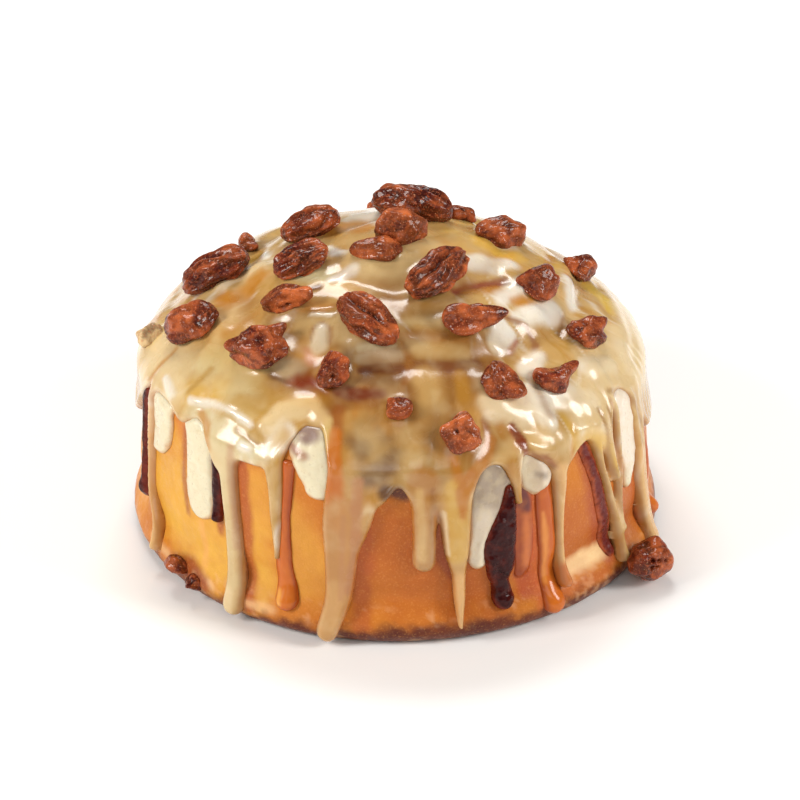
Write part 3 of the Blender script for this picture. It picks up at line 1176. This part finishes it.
def tongue(stroke, thickness, edge, lumps, lump_size, seed, bead=0.0, covers=()):
    """A poured tongue of one stroke. Gives back its bmesh, points, depths and places."""
    azimuths, ways, halves = (np.array(row) for row in zip(*stroke))
    middle_azimuth, middle_way = azimuths.mean(), (ways.min() + ways.max()) / 2
    scale = float(mm_per_degree(middle_way))
    reach = max(np.ptp(azimuths) * scale, np.ptp(ways)) / 2 + halves.max() + 1
    stroke = curved(stroke)

    def measured():
        """Where the sheet's points are, and how deep they lie inside the ragged stroke."""
        flat = np.array([vert.co[:2] for vert in bm.verts])
        azimuth, way = middle_azimuth + flat[:, 0] / scale, middle_way + flat[:, 1]
        ragged = lumps * cloudy(wrap(azimuth, way, 0), RAGGED_SIZE, 2, seed + 9)
        return azimuth, way, stroke_depth(azimuth, way, stroke) + ragged

    bm = bmesh.new()
    cells = int(2 * reach / TONGUE_STEP)
    bmesh.ops.create_grid(bm, x_segments=cells, y_segments=cells, size=reach)
    trim_to(bm, measured()[-1], 1.5)
    on_top = double(bm, reach, 2 * reach / cells)
    azimuth, way, depth = measured()
    rounded = np.sqrt(1 - (1 - np.clip(depth / edge, 0, 1)) ** 2)
    lump = lumps * cloudy(wrap(azimuth, way, 0), lump_size, 3, seed) * ramp(depth, 0.2, 1.2)
    tip_azimuth, tip_way, tip_half = stroke[-1]
    to_tip = np.hypot((azimuth - tip_azimuth) * scale, way - tip_way) / (1.1 * tip_half)
    drop = 1 + bead * np.exp(-(to_tip**2))
    covered = ramp(icing_depth(azimuth, way), -0.2, 1.6)
    for other in covers:
        beside = stroke_depth(azimuth, way, curved(other))
        covered = np.maximum(covered, ramp(beside, -0.6, 0.9))
    dough = dough_lift(azimuth, way)
    top = dough + (thickness * drop * rounded + lump) * (1 - 0.9 * covered)
    points = wrap(azimuth, way, np.where(on_top, top, dough - UNDER_SKIN))
    set_points(bm, points)
    face_outwards(bm)
    return bm, points, depth, azimuth, way


def triangles_of(kind):
    return sum(triangles(obj) for obj in pieces if obj.name.startswith(kind))


print("points of a tongue lie", TONGUE_STEP, "mm apart")

# %% Frosting marks: colour, strength, softness: azimuth, way, half width
FROSTING_MARKS = marks("""
126/92/88 0.85 1.6: -114.5 52 1.2, -111 55 2.4
150/88/66 0.8 0.9: -115.4 58 0.5, -111 60 0.9
156/136/118 0.9 4: -69 62 4, -69 74 4
216/200/178 0.8 2.4: -72 74 1.5, -73 82 2
110/86/72 0.6 1: -68 62 0.6, -66 66 0.7
188/164/138 0.85 3: -58 62 3, -57 72 3
228/214/196 0.8 1.2: -55.6 63 1, -55.4 69 1.2
120/100/84 0.6 0.8: -58.5 67 0.5, -56 68 0.5
240/222/208 0.7 4: -26 60 4, -27 74 3
""")
print("marks on the frosting:", len(FROSTING_MARKS))

# %% Frosting
frosting = Recipe(
    "soft frosting", "frosting", Roughness=0.34, IOR=1.45,
    Subsurface_Weight=0.3, Subsurface_Scale=0.0025, Subsurface_Radius=(1.0, 0.8, 0.6),
    Coat_Weight=0.25, Coat_Roughness=0.2,
)
grained = frosting.speckled(frosting.tones(), (216, 196, 156), 2, 4, 0.4, 0.7, 0.3)
frosting.use("Base Color", frosting.speckled(grained, (176, 146, 110), 0.5, 2, 0.6, 0.75, 0.25))
frosting.uneven_gloss(0.26, 0.44, 1.5)
frosting.bumps((frosting.cloud(0.6, 2), 0.05), (frosting.cloud(3, 2), 0.25))
for number, stroke in enumerate(FROSTING_TONGUES, 1):
    bm, points, depth, azimuth, way = tongue(
        stroke, thickness=1.2, edge=3.6, lumps=0.4, lump_size=4.5, seed=30 + number,
        covers=FILLING_TONGUES,
    )
    ground = one_tone((226, 214, 182), points)
    ground = painted(azimuth, way, ground, FROSTING_MARKS, points)
    edge = ramp(depth + 0.5 * cloudy(points, 3, 2, seed=60), 0.9, 0.0)
    ground = over(ground, (206, 150, 92), 0.75 * edge)
    new_piece(f"frosting_lobe_{number}", bm, frosting, f"frosting_{number}", ground)
print("frosting triangles in all:", triangles_of("frosting"))

# %% Cinnamon filling: height, lumps and tones of each run
THICK = ((50, 7, 7), (120, 42, 24), 1.1)
THIN = ((108, 42, 38), (168, 78, 38), 1.5)
FILLING_RUNS = (
    (1.4, 0.12, THICK), (1.4, 0.2, THICK), (1.4, 0.4, THICK), (0.5, 0.3, THIN), (1.4, 0.25, THICK),
)
filling = Recipe(
    "cinnamon filling", "filling", Roughness=0.3, IOR=1.4, Specular_IOR_Level=0.08,
    Coat_Weight=0.3, Coat_Roughness=0.03,
)
seedy = filling.speckled(filling.tones(), (84, 24, 14), 1.6, 4, 0.45, 0.75, 0.6)
filling.use("Base Color", seedy)
filling.uneven_gloss(0.14, 0.34, 0.9)
filling.bumps((filling.cells(1.5), 0.5), (filling.cloud(2.4, 2), 0.4))
for number, (stroke, run) in enumerate(zip(FILLING_TONGUES, FILLING_RUNS), 1):
    height, lumps, (tone, edge_tone, edge_reach) = run
    bm, points, depth, azimuth, way = tongue(
        stroke, thickness=height, edge=1.8, lumps=lumps, lump_size=2.4, seed=50 + number,
        bead=0.5,
    )
    edge = ramp(depth + 0.5 * cloudy(points, 2.4, 2, seed=61), edge_reach, 0.0)
    ground = over(one_tone(tone, points), edge_tone, 0.95 * edge)
    new_piece(f"filling_run_{number}", bm, filling, f"filling_{number}", ground)
print("filling triangles in all:", triangles_of("filling"))

# %% Syrup marks: colour, strength, softness: azimuth, way, half width
SYRUP_MARKS = marks("""
146/62/28 0.9 1.5: -62.4 68 2, -62 80 2, -62.4 88 2
94/42/40 0.9 1.6: -63 70.5 2, -61 73.5 1.4
206/116/58 0.7 1: -61.4 76 0.6, -61.6 86 0.6
238/176/86 0.8 0.8: -115.4 91.6 0.5, -115.2 94 0.6
236/160/80 0.6 0.8: -57.4 76 0.4, -57.2 92 0.5
""")
print("marks on the syrup:", len(SYRUP_MARKS))

# %% Syrup
SYRUP_HEIGHTS = (0.9, 0.35, 0.9, 0.9, 0.9, 0.9)
DEEPER_OVER = 24
syrup = Recipe(
    "amber syrup", "syrup", Roughness=0.3, IOR=1.45, Specular_IOR_Level=0.2,
    Coat_Weight=0.45, Coat_Roughness=0.09,
)
syrup.use("Base Color", syrup.speckled(syrup.tones(), (212, 122, 44), 3, 3, 0.4, 0.75, 0.3))
syrup.bumps((syrup.cloud(3, 2), 0.15),)
for number, (stroke, height) in enumerate(zip(SYRUP_TONGUES, SYRUP_HEIGHTS), 1):
    bm, points, depth, azimuth, way = tongue(
        stroke, thickness=height, edge=2.2, lumps=0.15, lump_size=5, seed=70 + number, bead=1.2,
    )
    deep = ramp(way, stroke[-1][1] - DEEPER_OVER, stroke[-1][1])
    ground = over(one_tone((182, 86, 28), points), (200, 102, 24), deep)
    ground = painted(azimuth, way, ground, SYRUP_MARKS, points)
    ground = over(ground, (164, 70, 22), 0.8 * ramp(depth, 1.0, 0.1))
    new_piece(f"syrup_run_{number}", bm, syrup, f"syrup_{number}", ground)
print("syrup triangles in all:", triangles_of("syrup"))

# %% [markdown]
# ## Candied pecans
# A pecan half is two long lobes with a deep seam between them, wrinkled across. Broken pieces are
# chunks with flat broken faces, paler inside. All are coated in cooked sugar, which rounds the
# wrinkles and leaves fine grains that glint. A finely divided sphere is pressed into shape point
# by point: seam, broken faces, wrinkles and grains are each one term of its radius.

# %% Candied kernel material
candied = Recipe(
    "candied pecan", "pecan", Roughness=0.36, IOR=1.45, Specular_IOR_Level=0.08,
    Coat_Weight=0.36, Coat_Roughness=0.07,
)
toasted = candied.speckled(candied.tones(), (76, 20, 13), 2.2, 3, 0.42, 0.64, 0.6)
glinting = candied.speckled(toasted, (206, 104, 60), 0.55, 3, 0.5, 0.7, 0.4)
candied.use("Base Color", candied.speckled(glinting, (244, 176, 132), 0.32, 2, 0.63, 0.72, 0.5))
candied.uneven_gloss(0.2, 0.4, 0.7)
candied.bumps((candied.cloud(0.5, 2), 0.09), (candied.cloud(1.5, 3), 0.35))
print("pecan nodes:", len(candied.tree.nodes))


# %% The form of a kernel: broken faces, lobes and seam
BROKEN_FACES, FACE_ROUNDING = 6, 0.16
SEAM_WIDTH, SEAM_DEPTH = 0.26, 0.4
FURROWS, FURROW_DEPTH = 8.5, 0.06


def pressed(unit, is_half, seed, features):
    """For points of a unit sphere: the radius they are pressed to, how pale and how sunken."""
    draw = random.Random(seed)
    x, y, z = unit.T
    swell, pale, sunken = np.ones(len(unit)), np.zeros(len(unit)), np.zeros(len(unit))
    for _ in range(0 if is_half else BROKEN_FACES):
        outward = Vector((draw.gauss(0, 1), draw.gauss(0, 1), abs(draw.gauss(0, 1)))).normalized()
        face = draw.uniform(0.66, 0.86) / np.maximum(unit @ np.array(outward), 0.05)
        pale = np.maximum(pale, draw.uniform(0.2, 0.9) * ramp(swell - face, 0, 0.1))
        swell = -blend_max(-swell, -face, FACE_ROUNDING)
    if not is_half:
        swell = swell / np.quantile(swell, 0.78)
    for direction, push, spread, tint in features:
        angle = np.arccos(np.clip(unit @ direction, -1, 1))
        near = np.exp(-((angle / spread) ** 2))
        swell += push * near
        pale = np.maximum(pale, tint * near)
        sunken = np.maximum(sunken, -tint * near)
    wander = 0.14 * np.sin(3 * x + draw.uniform(0, 6)) + 0.05 * np.sin(9 * x + draw.uniform(0, 6))
    from_top = np.arctan2(y, z) + wander
    ends = 1 - x**4
    if is_half:
        from_seam = np.abs(from_top)
        seam = np.exp(-((from_seam / SEAM_WIDTH) ** 2)) * ends
        furrows = np.sin(FURROWS * from_seam + 2.5 * x) * ends * ramp(from_seam, 0.2, 0.5)
        swell += FURROW_DEPTH * furrows - SEAM_DEPTH * seam
        sunken = np.maximum(sunken, np.maximum(seam, -0.7 * furrows))
    return swell, pale, sunken


print("broken faces of a piece:", BROKEN_FACES)


# %% The skin of a kernel: lumps, creases and grains of sugar
UNDERSIDE, PECAN_SINK = 0.6, 0.7
LUMP_SIZE, LUMP_HEIGHT = 3.6, 0.7
CREASE_SIZE, CREASE_HEIGHT, CREASE_REACH = 4.4, 0.9, 0.3
GRAIN_SIZE, GRAIN_HEIGHT = 0.7, 0.07
SHRINK = 0.25


def kernel(size, is_half, seed, features):
    """A kernel lying along X. Gives back its bmesh, and how sunken and how pale each point is."""
    length, width, height = size
    bm = bmesh.new()
    bmesh.ops.create_icosphere(bm, subdivisions=6 if length > 7 else 5, radius=1)
    unit = np.array([vert.co.normalized() for vert in bm.verts])
    x, _, z = unit.T
    swell, pale, sunken = pressed(unit, is_half, seed, features)
    half = np.array([length / 2, width / 2, height / (1 + UNDERSIDE)])
    blunt = (1 - np.minimum(x**2, 0.98)) ** -0.1
    shaped = unit * half * swell[:, None]
    shaped[:, 1] *= blunt
    shaped[:, 2] *= blunt * np.where(z < 0, UNDERSIDE, 1)
    place = shaped * MM
    lumps = cloudy(place * np.array([0.7, 1, 1]), LUMP_SIZE, 2, seed=seed)
    crease = np.abs(cloudy(place * np.array([0.55, 1, 1]), CREASE_SIZE, 2, seed=seed + 40))
    grain = cloudy(place, GRAIN_SIZE, 2, seed=seed + 80)
    push_out = LUMP_HEIGHT * lumps + CREASE_HEIGHT * np.minimum(crease, CREASE_REACH) - SHRINK
    push_out += GRAIN_HEIGHT * grain
    outward = shaped / np.linalg.norm(shaped, axis=1, keepdims=True)
    shaped = shaped + outward * push_out[:, None]
    side_tone = cloudy(place, 6, 1, seed=seed + 120)
    noisy = np.maximum(0.85 * ramp(-lumps, -0.12, 0.3), 0.55 * ramp(crease, 0.12, 0))
    sunken = np.maximum(sunken, noisy * (1 - 0.8 * np.clip(pale, 0, 1)))
    sunken = np.clip(sunken + 0.15 * ramp(grain, 0.1, -0.3), 0, 1)
    on_lumps, at_foot = ramp(lumps, 0.02, 0.34), ramp(z + lumps, 0.3, -0.2)
    pale = np.maximum(pale, np.maximum(0.55 * on_lumps, 0.6 * at_foot))
    pale = np.maximum(pale, 0.75 * ramp(side_tone, 0.02, 0.3))
    sunken = np.maximum(sunken, 0.75 * ramp(side_tone, -0.02, -0.3))
    set_points(bm, shaped * MM)
    return bm, sunken, np.clip(pale, 0, 1)


print("grains of sugar:", GRAIN_SIZE, "mm across and", GRAIN_HEIGHT, "mm high")


# %% Where a kernel lies
def surface_frame(azimuth, way, lift):
    """A place on the form with its directions east, down the form and out of it."""
    here = Vector(wrap(azimuth, way, lift))
    east = Vector((-math.sin(math.radians(azimuth)), math.cos(math.radians(azimuth)), 0))
    down = Vector(wrap(azimuth, way + 0.5, lift)) - Vector(wrap(azimuth, way - 0.5, lift))
    down.normalize()
    return here, east, down, down.cross(east).normalized()


print("out of the form at the front:", surface_frame(-90, 60, 0)[-1])

# %% [markdown]
# Broken pieces each have a shape of their own. They are told apart by a few lobes and dents, given
# as seen from the front: right and up on the piece, from -1 to 1, how far it stands out or in as a
# share of the radius, how wide it is, and whether it is paler (above 0) or darker (below 0).

# %% Lobes and dents by pecan number: right, up, push, spread, tint
LOBES = {}
for (number,), lobes in table("""
1: 0.4 0.2 0.1 0.5 0.3
3: -0.5 0.3 0.15 0.5 0.8, 0.6 -0.1 0.1 0.5 0.5, 0.1 0.8 -0.25 0.4 0
6: -0.7 -0.1 0.15 0.45 0.3, 0.75 0.35 0.25 0.45 0.9, 0 0.85 -0.35 0.4 0, 0.25 -0.7 -0.3 0.35 -0.6
6: -0.3 0.5 0.1 0.4 0.5
7: 0.1 -0.1 -0.25 0.3 -1, -0.8 0.3 0.2 0.4 0.3, 0.8 0.3 0.12 0.5 -0.7, -0.2 0.9 0.12 0.4 0
7: -0.5 -0.6 0.1 0.4 0.4
8: -0.95 0.15 0.3 0.3 0, 0.75 0.7 0.3 0.35 0.9, 0.3 0.6 -0.12 0.4 1, -0.3 0.25 -0.25 0.25 -0.9
8: 0.1 -0.95 0.25 0.35 0, -0.75 -0.55 -0.35 0.4 0, 0.1 -0.35 0.12 0.3 -0.8
10: -0.6 -0.2 0.2 0.45 0.8, 0.55 0.35 0.25 0.45 0.2, -0.05 -0.35 -0.3 0.22 -1
10: -0.35 0.75 -0.2 0.4 0.3
11: -0.4 -0.2 0.1 0.5 0.5
13: -0.5 0.2 0.2 0.5 0.2, 0.95 0.15 0.3 0.3 0, 0.35 0.75 -0.35 0.35 0, 0.05 -0.8 0.2 0.35 -0.3
13: 0.3 -0.1 -0.15 0.3 -0.7, -0.85 -0.4 0.1 0.35 0.8
14: -0.1 0.9 0.25 0.4 0.1, -0.7 -0.5 0.2 0.4 0.3, 0.85 -0.4 0.25 0.35 0.6, 0.65 0.55 -0.3 0.4 0
14: -0.8 0.5 -0.25 0.4 0, 0.1 -0.3 -0.15 0.4 -0.5
15: -0.65 -0.1 0.2 0.45 0.3, 0.8 0.65 0.4 0.35 0.4, 0.45 -0.8 0.2 0.35 0.3, 0 0.85 -0.4 0.35 0
15: 0.85 -0.2 -0.3 0.3 -0.4
16: -0.1 0.75 -0.5 0.4 -0.4, -0.3 0.15 -0.3 0.25 -1, 0.8 0.65 0.35 0.35 0.3
16: -0.85 0.55 0.25 0.3 0.2, 0.2 -0.7 0.1 0.5 0.2
17: -0.3 0 -0.15 0.5 -0.9, 0.85 0.3 0.15 0.4 0.9, -0.9 0.1 0.2 0.3 0.3, 0.4 0.9 0.15 0.4 0.2
17: 0.3 -0.8 0.15 0.35 0.1
18: -0.85 0.7 0.4 0.3 0, 0.55 0.85 0.3 0.35 0.2, -0.15 0.85 -0.35 0.35 0, 0.3 -0.5 0.15 0.5 0.3
18: -0.8 -0.4 -0.25 0.4 -0.3
19: 0.05 0.1 -0.2 0.35 0.6, -0.8 0.2 0.15 0.4 0.2, 0.5 0.7 0.15 0.4 0.4, 0.2 -0.8 0.12 0.4 -0.2
20: 0.7 -0.1 0.15 0.4 1, -0.1 -0.3 -0.15 0.35 -0.6, -0.6 0.4 0.1 0.4 0.8, 0.2 0.7 0.1 0.4 0.8
21: 0.55 -0.55 0.15 0.35 1, -0.4 -0.1 0.1 0.4 0, 0 -0.6 -0.2 0.3 -0.6, -0.9 0.1 0.1 0.3 0.3
23: 0.4 -0.5 0.2 0.45 0.4, -0.6 0.4 0.1 0.4 -0.4, -0.5 -0.6 -0.3 0.4 0, 0.9 0.1 0.1 0.4 0.2
24: -0.25 0.25 -0.3 0.2 -1, -0.9 0.1 0.2 0.35 0.2, 0.2 0.85 0.2 0.4 0.9, 0.85 -0.2 0.15 0.4 0.3
24: 0.1 -0.9 0.12 0.4 -0.3, -0.7 0.8 -0.25 0.4 0
91: 0.15 0.1 -0.3 0.16 -1, 0.5 0.1 -0.3 0.14 -1, 0.8 0.1 -0.22 0.12 -0.9, -0.7 0.1 0.15 0.5 0.1
91: 0.3 0.9 0.15 0.4 0.2, 0.15 -0.4 -0.3 0.16 -1, 0.5 -0.4 -0.25 0.14 -0.9
"""):
    LOBES.setdefault(int(number), []).extend(lobes)
print("pieces with lobes of their own:", len(LOBES))

# %% Turning lobes with the kernel
TO_RIGHT = Vector((1, 0, 0))
TO_CAMERA = Vector((0, -math.cos(CAMERA_HEIGHT_ANGLE), math.sin(CAMERA_HEIGHT_ANGLE)))
TO_TOP = Vector((0, math.sin(CAMERA_HEIGHT_ANGLE), math.cos(CAMERA_HEIGHT_ANGLE)))


def seen_features(rows, turned, size):
    """Turns lobes seen from the front into directions on the kernel's own unit sphere."""
    own_axes = turned.transposed()
    views = [np.array(own_axes @ view) * size for view in (TO_RIGHT, TO_TOP, TO_CAMERA)]
    to_right, to_top, to_camera = (view / np.linalg.norm(view) for view in views)
    features = []
    for right, up, push, spread, tint in rows:
        depth = math.sqrt(max(0, 1 - right**2 - up**2))
        own = to_right * right + to_top * up + to_camera * depth
        features.append((own / np.linalg.norm(own), push, spread, tint))
    return features


print("from the roll to the camera:", TO_CAMERA)

# %% Laying the kernels
BROWN = (124, 42, 22)
DEEP = (34, 6, 4)
FLESH = (208, 110, 58)
MAROON = (76, 20, 14)
ICED = (228, 198, 146)
AMBER_NUTS = {
    3: 0.7, 4: 0.3, 6: 0.9, 9: 0.4, 12: 0.45, 13: 0.3, 14: 0.3, 19: 0.8, 20: 0.8, 23: 0.4, 24: 0.6,
}
ICED_NUTS = (1,)
DARK_NUTS = {2: 0.3, 5: 0.3, 7: 0.4, 8: 0.35, 11: 0.3, 17: 0.3, 21: 0.7, 92: 0.7, 93: 0.7}


def lay_kernel(name, node, place, turn, size, is_half, seed):
    here, east, down, out = place
    along = east * math.cos(math.radians(turn)) + down * math.sin(math.radians(turn))
    side = out.cross(along).normalized()
    turned = Matrix((along, side, out)).transposed()
    features = seen_features(LOBES.get(seed, ()), turned, np.array(size))
    bm, sunken, pale = kernel(size, is_half, seed, features)
    for vert in bm.verts:
        vert.co = here + turned @ vert.co
    face_outwards(bm)
    ground = one_tone(BROWN, sunken)
    for tone, share in (
        (FLESH, AMBER_NUTS.get(seed, 0)), (MAROON, DARK_NUTS.get(seed, 0)),
        (FLESH, 0.8 * pale), (DEEP, 0.9 * sunken), (ICED, 0.9 * (seed in ICED_NUTS)),
    ):
        ground = over(ground, tone, share)
    new_piece(name, bm, candied, node, ground)


for number, row in enumerate(pecans_on_top(), 1):
    azimuth, way, length, width, height, turn, is_half = row
    lift = float(icing_lift(azimuth, way)) + UNDERSIDE * height / (1 + UNDERSIDE) - PECAN_SINK
    place, size = surface_frame(azimuth, way, lift), (length, width, height)
    lay_kernel(f"kernel_{number:02d}", f"pecan_{number:02d}", place, turn, size, is_half, number)
print("kernels on the icing:", triangles_of("kernel"), "triangles")

# %% Pieces stuck to the foot: azimuth, radius, height, length, width, height, turn, seed
FOOT_PECANS = (
    (-31.0, 61.2, 5.2, 11.0, 8.2, 9.6, 10, 91),
    (-143.5, 57.6, 5.6, 6.0, 4.4, 4.4, 0, 92),
    (-137.5, 57.9, 4.2, 4.6, 3.6, 4.0, 20, 93),
)
for number, row in enumerate(FOOT_PECANS, 1):
    azimuth, radius, centre_height, length, width, height, turn, seed = row
    angle = math.radians(azimuth)
    here = Vector((radius * math.cos(angle), radius * math.sin(angle), centre_height)) * MM
    east = Vector((-math.sin(angle), math.cos(angle), 0))
    out = Vector((math.cos(angle), math.sin(angle), 0))
    place, size = (here, east, Vector((0, 0, -1)), out), (length, width, height)
    lay_kernel(f"kernel_foot_{number}", f"pecan_foot_{number}", place, turn, size, False, seed)
print("kernels:", len([obj for obj in pieces if "kernel" in obj.name]))
print("triangles in all:", sum(triangles(obj) for obj in pieces))
